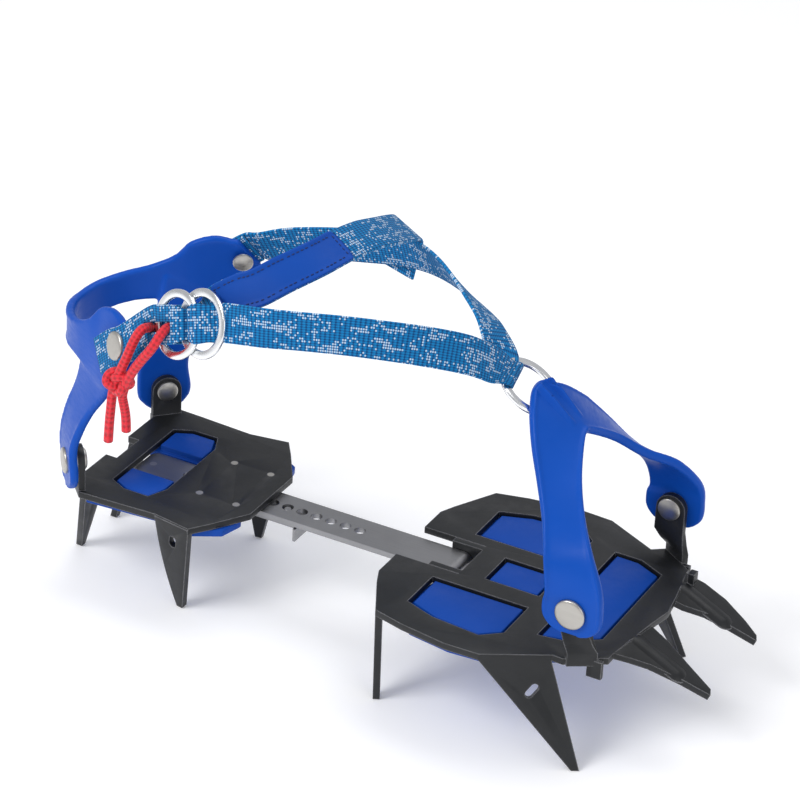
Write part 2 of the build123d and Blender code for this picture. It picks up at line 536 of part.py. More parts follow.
def inner_strap():
    """From the inner rivet to the instep ring, sewn double at the rivet."""
    sewn = [((p[0], 2 * HEEL_Y - p[1], p[2]), (n[0], -n[1], n[2])) for p, n in HEEL_TAB]
    body = webbing(sewn, 2 * WEB_T) + webbing(INNER + sewn[-1:])
    return body - strap_rivets()[1]


def ribbon(points, radii):
    """Webbing across the buckle, drawn as its edge and given its width."""
    path = FilletPolyline(*points, radius=radii)
    return buckle_plane() * extrude(trace(path, WEB_T - 0.1), WEB_W / 2, both=True)


def buckle_wrap():
    """The strap goes under ring B, over ring A and back under both."""
    low, high, back = -2.8, 2.9, -4.8
    course = [(40.5, -1.6), (27, low), (20.1, low), (15.6, high), (8.6, high),
              (7.2, 1.2), (7.2, -2.6), (9.0, back), (24.5, back)]
    return ribbon(course, [6, 1.4, 1.4, 0.8, 1.0, 1.0, 1.2]) - corners(5.0, 9.4)


def strap_fold():
    """The strap's turn round the near rear of the instep ring, and its two runs to it."""
    away = FOLD_AWAY
    plane = Plane(origin=FRONT_RING, x_dir=away, z_dir=away.cross(APEX_N))
    path = FilletPolyline((17.0, 2.1), (7.8, 2.1), (7.8, -2.1), (17.0, -2.1), radius=1.0)
    turn = plane * extrude(trace(path, WEB_T - 0.1), NARROW / 2, both=True)
    over = FRONT_RING + away * 17.0 + APEX_N * 2.1
    under = FRONT_RING + away * 17.0 - APEX_N * 2.1
    pieces = [turn]
    for run, (point, normal), width in ((over, MAIN[-1], WEB_W), (under, INNER[0], NARROW)):
        end = Vector(*point)
        end += (run - end).normalized() * 2.5
        start = (tuple(run), tuple(APEX_N), NARROW, tuple(away))
        pieces.append(strip([start, (tuple(end), normal, width)], WEB_T - 0.1))
    return pieces


def label_patch():
    """Sewn patch on the outer face of the instep strap."""
    stations = []
    for p, n in INSTEP[:5]:
        n = Vector(*n).normalized()
        stations.append((tuple(Vector(*p) + n * (WEB_T / 2 + LABEL_T)), tuple(n), LABEL_W))
    return strip(stations, LABEL_T)


def strap_tip():
    """Folded and sealed end of the strap."""
    p, n = INSTEP[-1]
    n = Vector(*n).normalized()
    last = Vector(*p)
    step = (last - Vector(*INSTEP[-2][0])).normalized()
    start, end = last + step * 0.3, last + step * 12
    return strip([(tuple(start), tuple(n), WEB_W + 0.8), (tuple(end), tuple(n), WEB_W - 1)], 2.2)


# ---- the release cord
CORD_REAR = [(62.8, -58.2, 144.0), (60.2, -61.0, 144.8), (57.6, -62.9, 139.3),
             (55.0, -63.6, 131.5), (51.6, -63.4, 123.5)]
CORD_FRONT = [(72.3, -61.6, 148.7), (71.5, -64.4, 146.0), (67.8, -65.6, 139.8),
              (62.6, -65.2, 132.8), (57.4, -64.2, 124.8)]
KNOT = Vector(50.3, -62.4, 117.9)
TAIL_REAR = [(47.4, -62.0, 113.6), (46.0, -61.2, 103.6), (44.8, -60.4, 95.0), (44.2, -60.0, 87.0)]
TAIL_FRONT = [(51.8, -62.4, 112.8), (52.8, -62.0, 107.6), (53.6, -61.4, 101.4), (53.4, -61.0, 95.2)]


def cord_piece(points):
    return cord_tube(points) - cord_knot()


def cord_knot():
    ball = scale(Sphere(1), by=(6.6, 5.2, 4.6))
    return Plane(origin=KNOT, x_dir=(0.75, 0.05, 0.30), z_dir=(0, -1, 0)) * ball


# ---- rivets
def toe_rivets():
    out = TOE_Y - TOE_LUG_OUT - TOE_STACK - BASKET_T - GAP
    grip = BASKET_T + TOE_STACK + PLATE_T + GAP
    near = rivet((TOE_AXIS_X, out, TOE_AXIS_Z), (0, -1, 0), 6.6, 1.5, 3.0, grip, 5.0, 1.4)
    return [near, mirrored(near, TOE_Y)]


def toe_washers():
    near = washer((TOE_AXIS_X, TOE_Y - TOE_LUG_OUT - 0.5, TOE_AXIS_Z), (0, -1, 0), 6.0, 3.0, 0.5)
    return [near, mirrored(near, TOE_Y)]


def heel_rivets():
    out = HEEL_RIVET + HEEL_FACING * (WASHER_T + BASKET_T)
    near = rivet(out, HEEL_FACING, 5.6, 1.5, 2.5, BASKET_T + WASHER_T + PLATE_T, 4.6, 1.4)
    return [near, mirrored(near, HEEL_Y)]


def heel_washers():
    near = washer(HEEL_RIVET + HEEL_FACING * WASHER_T, HEEL_FACING, 6.0, 2.5, WASHER_T)
    return [near, mirrored(near, HEEL_Y)]


def strap_rivets():
    """Rivets through the heel basket's wings; the inner one holds the strap's fixed end."""
    near = rivet(STRAP_RIVET, STRAP_FACING, 6.1, 1.4, 2.0, 8.6, 4.4, 1.2)
    return [near, mirrored(near, HEEL_Y)]


def nodes():
    yield "front_frame", front_frame()
    yield "heel_frame", heel_frame()
    yield "link_bar", link_bar()
    yield "bar_stop", bar_stop()
    yield "pivot_pin", pivot_pin()
    yield "bar_guide", bar_guide()
    yield "guide_rivets", guide_rivets()
    yield "detent_spring", detent_spring()
    yield "detent_rivets", detent_rivets()
    yield "front_antiball", front_antiball()
    yield "heel_antiball", heel_antiball()
    yield "toe_basket", toe_basket()
    yield "heel_basket", heel_basket()
    yield "toe_rivets", toe_rivets()
    yield "toe_washers", toe_washers()
    yield "heel_rivets", heel_rivets()
    yield "heel_washers", heel_washers()
    yield "strap_rivets", strap_rivets()
    yield "front_ring", ring(FRONT_RING, APEX_N)
    yield "ring_a", ring(buckle_point(0, 1.05), OUTWARD)
    yield "ring_b", ring(buckle_point(RING_STEP, -1.05), OUTWARD)
    yield "heel_tab", heel_tab()
    yield "strap_main", webbing(MAIN)
    yield "strap_buckle", buckle_wrap()
    yield "strap_fold", strap_fold()
    yield "strap_inner", inner_strap()
    yield "strap_instep", webbing(INSTEP)
    yield "strap_tip", strap_tip()
    yield "label_patch", label_patch()
    yield "cord_rear", cord_piece(CORD_REAR)
    yield "cord_front", cord_piece(CORD_FRONT)
    yield "cord_knot", cord_knot()
    yield "tail_rear", cord_piece(TAIL_REAR)
    yield "tail_front", cord_piece(TAIL_FRONT)


os.makedirs("parts", exist_ok=True)
everything = []
for name, shape in nodes():
    items = shape if isinstance(shape, list) else [shape]
    solids = [Location(-ORIGIN) * solid for item in items for solid in item.solids()]
    group = Compound(children=solids) if len(solids) > 1 else solids[0]
    export_step(group, f"parts/{name}.step")
    everything.extend(group.solids())
box = Compound(children=everything).bounding_box()
print("box", box.min, box.max, "centre", box.center())
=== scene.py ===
"""Looks of the strap-on crampon: soft parts, cords, finishes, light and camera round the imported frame.

Places are in the part's working millimetres (x from the rear points to the toe, y inwards, z up from
the points' tips) and place() turns them into the row's metres.
"""
from math import cos, pi, radians, sin, sqrt
import bmesh
import bpy
from mathutils import Matrix, Vector


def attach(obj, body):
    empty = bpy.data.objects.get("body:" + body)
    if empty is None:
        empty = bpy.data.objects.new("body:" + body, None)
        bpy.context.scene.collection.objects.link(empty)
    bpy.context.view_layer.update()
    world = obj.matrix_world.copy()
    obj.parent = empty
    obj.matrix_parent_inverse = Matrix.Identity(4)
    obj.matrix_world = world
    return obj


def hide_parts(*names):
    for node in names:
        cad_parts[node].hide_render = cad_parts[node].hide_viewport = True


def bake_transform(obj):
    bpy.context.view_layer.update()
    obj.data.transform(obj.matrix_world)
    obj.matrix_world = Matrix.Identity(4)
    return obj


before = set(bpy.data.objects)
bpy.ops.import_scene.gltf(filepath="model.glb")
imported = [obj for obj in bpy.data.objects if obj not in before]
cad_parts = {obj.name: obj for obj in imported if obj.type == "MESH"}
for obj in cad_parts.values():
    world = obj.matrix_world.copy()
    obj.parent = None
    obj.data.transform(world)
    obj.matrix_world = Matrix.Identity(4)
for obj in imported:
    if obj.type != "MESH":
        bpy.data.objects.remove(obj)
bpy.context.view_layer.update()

MM = 0.001
ORIGIN = Vector((147.975, -5.094, 0.0))

HEEL_Y, TOE_Y = -2.0, 2.0    # centre lines of the heel and of the toe basket
BASKET_T = 3.5
WASHER_T = 0.7
WEB_W, WEB_T = 16.0, 1.45
RIB_PITCH, YARN_PITCH = 1.9, 1.05
NARROW = 12.6                # the webbing's width where it turns through a ring
RING_R, RING_BORE, RING_T = 14.3, 10.8, 1.8
CORD_D = 4.0
BRAID_STRANDS, BRAID_REPEATS = 3, 15

# rivets: where they sit and which way they face
TOE_AXIS_X, TOE_AXIS_Z = 252.4, 68.2
HEEL_RIVET = Vector((14.6, -38.6, 58.0))
HEEL_FACING = Vector((-0.72, -0.69, 0)).normalized()
STRAP_RIVET = Vector((43.3, -53.3, 128.2))
STRAP_FACING = Vector((-0.50, -0.84, 0.20)).normalized()

# the double-ring buckle: ring A's centre, the strap's direction and its outward normal
BUCKLE = Vector((75.1, -56.3, 149.0))
ALONG = Vector((0.882, -0.2547, 0.397)).normalized()
OUTWARD = Vector((-0.3805, -0.8812, 0.2804)).normalized()
ACROSS = ALONG.cross(OUTWARD)
RING_STEP = 13.2             # ring B lies this far ahead of ring A

# the toe basket's apex: its middle, its slope forwards and its outward normal
APEX = Vector((219.3, TOE_Y, 127.2))
APEX_F = Vector((0.83, 0, -0.555)).normalized()
APEX_N = Vector((0.555, 0, 0.83)).normalized()
FRONT_RING = APEX + APEX_F * -15.2 + APEX_N * -3.2 + Vector((0, -1, 0))


def place(p):
    return (Vector(p) - ORIGIN) * MM


# ---------------------------------------------------------------- camera, light and floor
TARGET = Vector((148.05, -1.14, 110.29))
AZIMUTH, ELEVATION, ROLL, DISTANCE, LENS = 26.68, 29.58, 3.1, 1493.0, 163.6


def camera():
    az, el, roll = radians(AZIMUTH), radians(ELEVATION), radians(ROLL)
    back = Vector((sin(az) * cos(el), -cos(az) * cos(el), sin(el)))
    right = Vector((cos(az), sin(az), 0))
    up = back.cross(right)
    x_axis = right * cos(roll) + up * sin(roll)
    y_axis = up * cos(roll) - right * sin(roll)
    data = bpy.data.cameras.new("camera")
    data.lens = LENS
    data.sensor_width = 36.0
    data.clip_start, data.clip_end = 0.05, 20.0
    obj = bpy.data.objects.new("camera", data)
    matrix = Matrix((x_axis, y_axis, back)).transposed().to_4x4()
    matrix.translation = place(TARGET + back * DISTANCE)
    obj.matrix_world = matrix
    bpy.context.collection.objects.link(obj)
    bpy.context.scene.camera = obj


def area_light(name, at, size, power):
    data = bpy.data.lights.new(name, "AREA")
    data.shape = "RECTANGLE"
    data.size, data.size_y = size
    data.energy = power
    obj = bpy.data.objects.new(name, data)
    obj.location = at
    direction = Vector((0, 0, 0.08)) - Vector(at)
    obj.rotation_euler = direction.to_track_quat("-Z", "Y").to_euler()
    bpy.context.collection.objects.link(obj)


def studio():
    area_light("key", (-0.55, -0.85, 1.05), (0.6, 0.6), 10.5)
    area_light("fill", (1.2, -0.6, 0.6), (0.9, 0.8), 3.0)
    area_light("top", (0.1, 0.6, 1.5), (1.2, 0.8), 7.0)
    world = bpy.data.worlds.new("studio")
    world.use_nodes = True
    world.node_tree.nodes["Background"].inputs["Color"].default_value = (0.95, 0.96, 1.0, 1)
    world.node_tree.nodes["Background"].inputs["Strength"].default_value = 0.52
    bpy.context.scene.world = world
    bpy.context.scene.view_settings.view_transform = "Standard"
    mesh = bpy.data.meshes.new("floor")
    s = 6.0
    mesh.from_pydata([(-s, -s, 0), (s, -s, 0), (s, s, 0), (-s, s, 0)], [], [(0, 1, 2, 3)])
    floor = bpy.data.objects.new("floor", mesh)
    floor.location.z = -0.0002
    bpy.context.collection.objects.link(floor)
    look = Look("floor_paint", (0.93, 0.93, 0.935), 0.8, Emission_Color=(1, 1, 1, 1), Emission_Strength=0.16)
    floor.data.materials.append(look.material)


# ---------------------------------------------------------------- materials
class Look:
    """A node material under construction: a Principled shader and short ways to feed it."""

    def __init__(self, name, colour, roughness, metallic=0.0, **sockets):
        self.material = bpy.data.materials.new(name)
        self.material.use_nodes = True
        self.tree = self.material.node_tree
        self.shader = self.tree.nodes["Principled BSDF"]
        self.shader.inputs["Base Color"].default_value = (*colour, 1)
        self.shader.inputs["Roughness"].default_value = roughness
        self.shader.inputs["Metallic"].default_value = metallic
        for socket, value in sockets.items():
            self.shader.inputs[socket.replace("_", " ")].default_value = value

    def node(self, kind, settings=(), inputs=()):
        new = self.tree.nodes.new(kind)
        for key, value in dict(settings).items():
            setattr(new, key, value)
        for key, value in dict(inputs).items():
            if isinstance(value, bpy.types.NodeSocket):
                self.tree.links.new(value, new.inputs[key])
            else:
                new.inputs[key].default_value = value
        return new

    def coords(self, kind="Object"):
        return self.node("ShaderNodeTexCoord").outputs[kind]

    def noise(self, scale, detail=4.0, roughness=0.55, stretch=None):
        vector = self.coords()
        if stretch:
            vector = self.node("ShaderNodeMapping", (), {"Vector": vector, "Scale": stretch}).outputs[0]
        inputs = {"Vector": vector, "Scale": scale, "Detail": detail, "Roughness": roughness}
        return self.node("ShaderNodeTexNoise", (), inputs).outputs[0]

    def ramp(self, value, stops):
        new = self.node("ShaderNodeValToRGB", (), {"Fac": value})
        elements = new.color_ramp.elements
        while len(elements) < len(stops):
            elements.new(0.5)
        for element, (at, colour) in zip(elements, stops):
            element.position = at
            element.color = (*colour, 1) if isinstance(colour, tuple) else (colour, colour, colour, 1)
        return new.outputs[0]

    def maths(self, operation, a, b=None, c=None):
        new = self.node("ShaderNodeMath", {"operation": operation})
        for index, value in enumerate((a, b, c)):
            if value is None:
                continue
            if isinstance(value, bpy.types.NodeSocket):
                self.tree.links.new(value, new.inputs[index])
            else:
                new.inputs[index].default_value = value
        return new.outputs[0]

    def mix(self, amount, first, second):
        new = self.node("ShaderNodeMix", {"data_type": "RGBA"})
        for index, value in ((0, amount), (6, first), (7, second)):
            if isinstance(value, bpy.types.NodeSocket):
                self.tree.links.new(value, new.inputs[index])
            else:
                new.inputs[index].default_value = (*value, 1) if isinstance(value, tuple) else value
        return new.outputs[2]

    def feed(self, socket, value):
        self.tree.links.new(value, self.shader.inputs[socket])

    def bump(self, height, distance, strength=1.0, after=None):
        inputs = {"Height": height, "Distance": distance, "Strength": strength}
        if after is not None:
            inputs["Normal"] = after
        normal = self.node("ShaderNodeBump", (), inputs).outputs[0]
        self.feed("Normal", normal)
        return normal

    def edges(self, radius):
        """How far the surface is from flat within this radius: high along edges."""
        bevel = self.node("ShaderNodeBevel", {"samples": 4}, {"Radius": radius})
        normal = self.node("ShaderNodeNewGeometry").outputs["Normal"]
        inputs = {0: bevel.outputs[0], 1: normal}
        dot = self.node("ShaderNodeVectorMath", {"operation": "DOT_PRODUCT"}, inputs)
        return self.maths("SUBTRACT", 1.0, dot.outputs["Value"])


def powder_coat():
    look = Look("black_powder_coat", (0.02, 0.021, 0.024), 0.42, 0.0, Specular_IOR_Level=0.38)
    mottled = look.noise(45, 5)
    worn = look.maths("MULTIPLY", look.edges(0.0009), look.noise(260, 5))
    worn = look.ramp(worn, [(0.035, 0.0), (0.10, 1.0)])
    base = look.mix(mottled, (0.006, 0.007, 0.008), (0.018, 0.019, 0.021))
    look.feed("Base Color", look.mix(worn, base, (0.22, 0.22, 0.23)))
    look.feed("Roughness", look.ramp(look.noise(120, 4), [(0.3, 0.34), (0.7, 0.52)]))
    look.bump(look.noise(2600, 3), 0.00006, 0.5)
    return look.material


def bare_steel(name, colour, roughness):
    look = Look(name, colour, roughness, 1.0)
    grain = look.noise(90, 6, 0.6, stretch=(1, 14, 14))
    look.feed("Roughness", look.ramp(grain, [(0.3, roughness - 0.07), (0.7, roughness + 0.1)]))
    darker = tuple(c * 0.72 for c in colour)
    look.feed("Base Color", look.mix(look.noise(60, 5), darker, colour))
    look.bump(grain, 0.00003, 0.5)
    return look.material


def zinc():
    look = Look("bright_zinc", (0.86, 0.87, 0.88), 0.2, 1.0)
    look.feed("Roughness", look.ramp(look.noise(160, 5), [(0.35, 0.14), (0.7, 0.34)]))
    look.feed("Base Color", look.mix(look.noise(70, 4), (0.74, 0.76, 0.79), (0.93, 0.93, 0.92)))
    look.bump(look.noise(900, 4), 0.00003, 0.4)
    return look.material


def moulded_plastic(name, colour, roughness):
    look = Look(name, colour, roughness, 0.0, Specular_IOR_Level=0.14)
    lighter = tuple(min(1, c * 1.25 + 0.003) for c in colour)
    look.feed("Base Color", look.mix(look.noise(26, 3), colour, lighter))
    scuffs = look.noise(150, 6, 0.7, stretch=(1, 1, 5))
    look.feed("Roughness", look.ramp(scuffs, [(0.35, roughness - 0.06), (0.75, roughness + 0.16)]))
    look.bump(look.noise(3200, 2), 0.00005, 0.35)
    return look.material


def woven_webbing():
    """Ribs across the strap with pale yarns that surface here and there, in the strap's own metres."""
    look = Look("woven_webbing", (0.008, 0.14, 0.40), 0.8, 0.0, Sheen_Weight=0.06, Specular_IOR_Level=0.2)
    split = look.node("ShaderNodeSeparateXYZ", (), {0: look.coords("UV")})
    u = look.maths("DIVIDE", split.outputs[0], RIB_PITCH / 2 * MM)
    v = look.maths("DIVIDE", split.outputs[1], YARN_PITCH * MM)
    u_bump = look.maths("SINE", look.maths("MULTIPLY", look.maths("FRACT", u), pi))
    v_bump = look.maths("SINE", look.maths("MULTIPLY", look.maths("FRACT", v), pi))
    rib = look.maths("SINE", look.maths("MULTIPLY", look.maths("FRACT", look.maths("MULTIPLY", u, 0.5)), pi))
    stitch = look.maths("MULTIPLY", u_bump, v_bump)
    fuzz = look.noise(1400, 5, 0.7)
    # pale yarns show cell by cell, crowding together in long patches
    corner = {0: look.maths("FLOOR", u), 1: look.maths("FLOOR", v)}
    cell = look.node("ShaderNodeCombineXYZ", (), corner).outputs[0]
    chance = look.node("ShaderNodeTexWhiteNoise", {"noise_dimensions": "2D"}, {"Vector": cell}).outputs[0]
    patches = look.node("ShaderNodeMapping", (), {"Vector": cell, "Scale": (0.10, 0.30, 1)}).outputs[0]
    patches = look.node("ShaderNodeTexNoise", (), {"Vector": patches, "Scale": 1.0, "Detail": 1.5}).outputs[0]
    crowd = look.ramp(patches, [(0.46, 0.02), (0.56, 0.48), (0.66, 0.85)])
    shown = look.ramp(stitch, [(0.30, 0.0), (0.52, 1.0)])
    pale = look.maths("MULTIPLY", look.maths("LESS_THAN", chance, crowd), shown)
    # painted shade and highlights: the blue goes darker in the gaps between ribs and between yarns and
    # lighter on their crowns, varied at random by the fuzz
    gap_shade, light = (0.001, 0.040, 0.155), (0.004, 0.205, 0.50)
    body = look.maths("ADD", look.maths("MULTIPLY", rib, 0.50), look.maths("MULTIPLY", v_bump, 0.50))
    body = look.maths("MULTIPLY", body, look.maths("MULTIPLY_ADD", fuzz, 0.5, 0.75))
    base = look.mix(look.ramp(body, [(0.25, 0.0), (0.95, 1.0)]), gap_shade, light)
    look.feed("Base Color", look.mix(look.maths("MULTIPLY", pale, 0.85), base, (0.55, 0.68, 0.82)))
    height = look.maths("ADD", look.maths("MULTIPLY", rib, 0.6), look.maths("MULTIPLY", stitch, 0.5))
    normal = look.bump(height, 0.00028, 0.8)
    look.bump(fuzz, 0.0001, 0.4, normal)
    return look.material


def braided_cord(name, colour, pale):
    """Two families of strands that cross as they wind; the curve's own u runs along it and v round it."""
    look = Look(name, colour, 0.62, 0.0, Sheen_Weight=0.12)
    split = look.node("ShaderNodeSeparateXYZ", (), {0: look.coords("UV")})
    turns = look.maths("MULTIPLY", split.outputs[1], BRAID_STRANDS * 2 * pi)
    length = look.maths("MULTIPLY", split.outputs[0], BRAID_REPEATS * 2 * pi)
    one = look.maths("SINE", look.maths("ADD", length, turns))
    two = look.maths("SINE", look.maths("SUBTRACT", length, turns))
    braid = look.maths("MULTIPLY_ADD", look.maths("MULTIPLY", one, two), 0.5, 0.5)
    fuzz = look.noise(1500, 4, 0.7)
    # painted shade: the braid drops to half its colour where the strands dip under each other and keeps its
    # full colour on their crowns
    darker = tuple(c * 0.5 for c in colour)
    raised = look.ramp(look.maths("MULTIPLY_ADD", fuzz, 0.25, braid), [(0.2, 0.0), (0.8, 1.0)])
    base = look.mix(raised, darker, colour)
    look.feed("Base Color", look.mix(look.ramp(fuzz, [(0.60, 0.0), (0.78, 0.35)]), base, pale))
    look.bump(look.maths("ADD", braid, look.maths("MULTIPLY", fuzz, 0.3)), 0.0005, 0.9)
    return look.material


# ---------------------------------------------------------------- mesh helpers
def new_mesh(name, verts, faces, look, uv=None):
    """A mesh of these points in metres; uv gives one pair per vertex."""
    mesh = bpy.data.meshes.new(name)
    mesh.from_pydata([tuple(v) for v in verts], [], faces)
    if uv:
        layer = mesh.uv_layers.new(name="UVMap")
        for loop in mesh.loops:
            layer.data[loop.index].uv = uv[loop.vertex_index]
    mesh.materials.append(look)
    obj = bpy.data.objects.new(name, mesh)
    bpy.context.collection.objects.link(obj)
    bm = bmesh.new()
    bm.from_mesh(mesh)
    bmesh.ops.recalc_face_normals(bm, faces=bm.faces)
    bm.to_mesh(mesh)
    bm.free()
    mesh.shade_smooth()
    return obj


def apply(obj):
    """The object's mesh as its modifiers leave it, with the modifiers gone."""
    bpy.context.view_layer.update()
    depsgraph = bpy.context.evaluated_depsgraph_get()
    mesh = bpy.data.meshes.new_from_object(obj.evaluated_get(depsgraph))
    obj.modifiers.clear()
    obj.data = mesh
    return obj


def sharp_by_angle(obj, angle):
    obj.data.shade_smooth()
    obj.data.set_sharp_from_angle(angle=radians(angle))


def catmull(a, b, c, d, t):
    bend, turn = 2 * a - 5 * b + 4 * c - d, 3 * b - a - 3 * c + d
    return 0.5 * ((2 * b) + (c - a) * t + bend * t * t + turn * t ** 3)


def smooth_rows(stations, step=1.5):
    """Rows every step mm or so along a smooth curve through stations (point, normal, width[, across]).

    across turns a station's row from square to the strap, as on a slanting fold.
    """
    points = [Vector(s[0]) for s in stations]
    data = []
    for i, (point, normal, width, *slant) in enumerate(stations):
        tangent = (points[min(i + 1, len(points) - 1)] - points[max(i - 1, 0)]).normalized()
        across = Vector(slant[0]) if slant else tangent.cross(Vector(normal))
        data.append((points[i], Vector(normal).normalized(), float(width), across.normalized()))
    first, last = data[0], data[-1]
    padded = [(first[0] * 2 - data[1][0], *first[1:]), *data, (last[0] * 2 - data[-2][0], *last[1:])]
    raw = []
    for i in range(1, len(padded) - 2):
        count = max(2, round((padded[i + 1][0] - padded[i][0]).length / step))
        around = padded[i - 1:i + 3]
        for k in range(count):
            raw.append([catmull(*(station[item] for station in around), k / count) for item in range(4)])
    raw.append(list(last))
    rows, distance = [], 0.0
    for i, (point, normal, width, across) in enumerate(raw):
        if i:
            distance += (point - raw[i - 1][0]).length
        tangent = (raw[min(i + 1, len(raw) - 1)][0] - raw[max(i - 1, 0)][0]).normalized()
        across = (across - normal * across.dot(normal) / normal.length_squared).normalized()
        square = across.cross(tangent).normalized()
        if square.dot(normal) < 0:
            square = -square
        rows.append((point, square, width, distance, across))
    return rows


def loft(name, rows, section, look, caps=True):
    """A skin over the rows; section(width, share) gives points (across, out) in mm round one row."""
    verts, uv, faces = [], [], []
    total = rows[-1][3]
    for point, normal, width, distance, across in rows:
        for side, out in section(width, distance / total):
            verts.append(place(point + across * side + normal * out))
            uv.append((distance * MM, side * MM))
    ring = len(verts) // len(rows)
    for i in range(len(rows) - 1):
        for k in range(ring):
            a, b = i * ring + k, i * ring + (k + 1) % ring
            faces.append((a, b, b + ring, a + ring))
    if caps:
        faces.append(tuple(range(ring)))
        faces.append(tuple(range((len(rows) - 1) * ring, len(rows) * ring)))
    return new_mesh(name, verts, faces, look, uv)


def web_section(width, _share):
    """Webbing: flat faces and rounded selvedges a little thinner than the middle."""
    a, b = width / 2, WEB_T / 2
    top = [(-a, 0.0), (-a + 0.18, 0.7 * b), (-a + 0.6, b), (-0.55 * a, 1.02 * b), (0.0, 1.04 * b)]
    top += [(-x, q) for x, q in reversed(top[:-1])]
    return top + [(x, -q) for x, q in reversed(top[1:-1])]


def webbing(name, stations, look, step=1.5):
    return loft(name, smooth_rows(stations, step), web_section, look)


def lathe(name, profile, centre, axis, look, segments=48):
    """A turned piece: profile points (radius, height) in mm about an axis through centre."""
    axis = Vector(axis).normalized()
    side = axis.orthogonal().normalized()
    other = axis.cross(side)
    verts, faces = [], []
    for radius, height in profile:
        for k in range(segments):
            turn = 2 * pi * k / segments
            spoke = side * cos(turn) + other * sin(turn)
            verts.append(place(Vector(centre) + axis * height + spoke * radius))
    closed = profile[0][0] > 0.01 and profile[-1][0] > 0.01
    count = len(profile)
    for i in range(count if closed else count - 1):
        low, high = i * segments, ((i + 1) % count) * segments
        for k in range(segments):
            after = (k + 1) % segments
            faces.append((low + k, low + after, high + after, high + k))
    obj = new_mesh(name, verts, faces, look)
    bm = bmesh.new()
    bm.from_mesh(obj.data)
    bmesh.ops.remove_doubles(bm, verts=bm.verts, dist=1e-6)
    bmesh.ops.recalc_face_normals(bm, faces=bm.faces)
    bm.to_mesh(obj.data)
    bm.free()
    sharp_by_angle(obj, 50)
    return obj


def bevelled(node, look, width):
    """The node's own mesh with rounded edges, for a clean glint on each."""
    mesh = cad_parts[node].data.copy()
    mesh.name = node + "_rounded"
    bm = bmesh.new()
    bm.from_mesh(mesh)
    bmesh.ops.remove_doubles(bm, verts=bm.verts, dist=2e-6)
    bmesh.ops.dissolve_limit(bm, angle_limit=radians(1.0), verts=bm.verts, edges=bm.edges)
    bm.to_mesh(mesh)
    bm.free()
    mesh.materials.clear()
    mesh.materials.append(look)
    obj = bpy.data.objects.new(node + "_rounded", mesh)
    bpy.context.collection.objects.link(obj)
    modifier = obj.modifiers.new("bevel", "BEVEL")
    modifier.width = width * MM
    modifier.segments = 2
    modifier.limit_method = "ANGLE"
    modifier.angle_limit = radians(28)
    modifier.use_clamp_overlap = True
    apply(obj)
    sharp_by_angle(obj, 35)
    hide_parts(node)
    return obj


# ---------------------------------------------------------------- baskets
# the inner toe leg leans in: how far, around which height, over how much of it
LEAN_IN, LEAN_MID, LEAN_SPAN = 3.6, 95.0, 15.5
# the tab at the apex: where its draw-in starts, its run back, its reach sideways, and its shares by side
TAB_START, TAB_RUN, TAB_REACH = 4.0, 14.0, 27.0
TAB_DRAW_INNER, TAB_DRAW_OUTER = 0.56, 0.16
# the two ridges there: distance from the middle, half width, height, and where they fade out
RIDGE_GAP, RIDGE_HALF, RIDGE_RISE = 4.1, 1.6, 2.6
RIDGE_END, RIDGE_RUN = 9.0, 14.0

# stations are (point, outward normal, width); each leg starts with a rounded end at its rivet
TOE_END = (TOE_AXIS_X, -47.05, TOE_AXIS_Z)
TOE_LEG = [((252.4, -47.05, 71.0), (0, -1, 0), 26.4), ((252.0, -46.9, 78), (0.06, -0.99, 0.08), 24.6),
           ((247.2, -43.9, 90.0), (0.22, -0.88, 0.36), 20.2),
           ((239.2, -33.2, 100), (0.34, -0.62, 0.68), 17.5),
           ((231.2, -22.2, 110), (0.42, -0.40, 0.80), 19),
           ((224.6, -12.0, 119.6), (0.5, -0.2, 0.84), 23.5),
           ((220.8, -5.0, 125.6), (0.55, -0.05, 0.83), 27.5)]
# the band from the middle of the back round to the strap rivet
BAND = [((-5.5, HEEL_Y, 109), (-1, 0, 0), 15), ((-3.5, -13, 110), (-0.93, -0.36, 0), 15),
        ((3, -24, 111.5), (-0.78, -0.62, 0), 15), ((12, -32, 113), (-0.66, -0.75, 0), 17),
        ((22, -38, 115), (-0.6, -0.8, 0.05), 24), ((30.5, -42.6, 118.4), (-0.57, -0.80, 0.15), 34),
        ((38, -46.6, 122.8), (-0.55, -0.81, 0.19), 33), ((43.6, -48.8, 125.8), (-0.5, -0.84, 0.2), 28),
        ((48.5, -50.2, 129.5), (-0.47, -0.85, 0.22), 17)]
HEEL_END = HEEL_RIVET + HEEL_FACING * (WASHER_T + BASKET_T / 2)
HEEL_LEG = [((12.3, -40.0, 68), (-0.73, -0.68, 0), 23), ((15.0, -39.5, 79), (-0.72, -0.69, 0), 22.5),
            ((19.2, -39.0, 90), (-0.70, -0.70, 0), 23), ((24, -40.2, 101), (-0.64, -0.76, 0), 27),
            ((28, -42.2, 111), (-0.6, -0.8, 0), 32)]


def rimmed_section(rim_height, rim_width, rim_from=-1.0, rim_to=2.0):
    """Moulded band: rounded edges, and rims along them that fade out beyond these shares of its length."""
    def section(width, share):
        a, b = width / 2, BASKET_T / 2
        beyond = max(share - rim_to, rim_from - share)
        r, h = min(rim_width, a * 0.4), rim_height * min(1.0, max(0.0, 1 - beyond / 0.15))
        half = [(-a, 0.0), (-a + 0.25, b * 0.65), (-a + 0.75, b + h * 0.8), (-a + 1.2, b + h),
                (-a + r, b + h), (-a + r + 0.7, b + h * 0.15), (-a + r + 1.2, b)]
        middle = [((-a + r + 1.2) * (1 - 2 * t), b) for t in (0.25, 0.5, 0.75)]
        top = half + middle + [(-x, q) for x, q in reversed(half)]
        bottom = [(a - 0.25, -b * 0.65), (a - 1.0, -b), (a * 0.5, -b)]
        return top + bottom + [(0.0, -b)] + [(-x, q) for x, q in reversed(bottom)]
    return section


def mirrored_stations(stations, y):
    return [((p[0], 2 * y - p[1], p[2]), (n[0], -n[1], n[2]), w) for p, n, w in reversed(stations)]


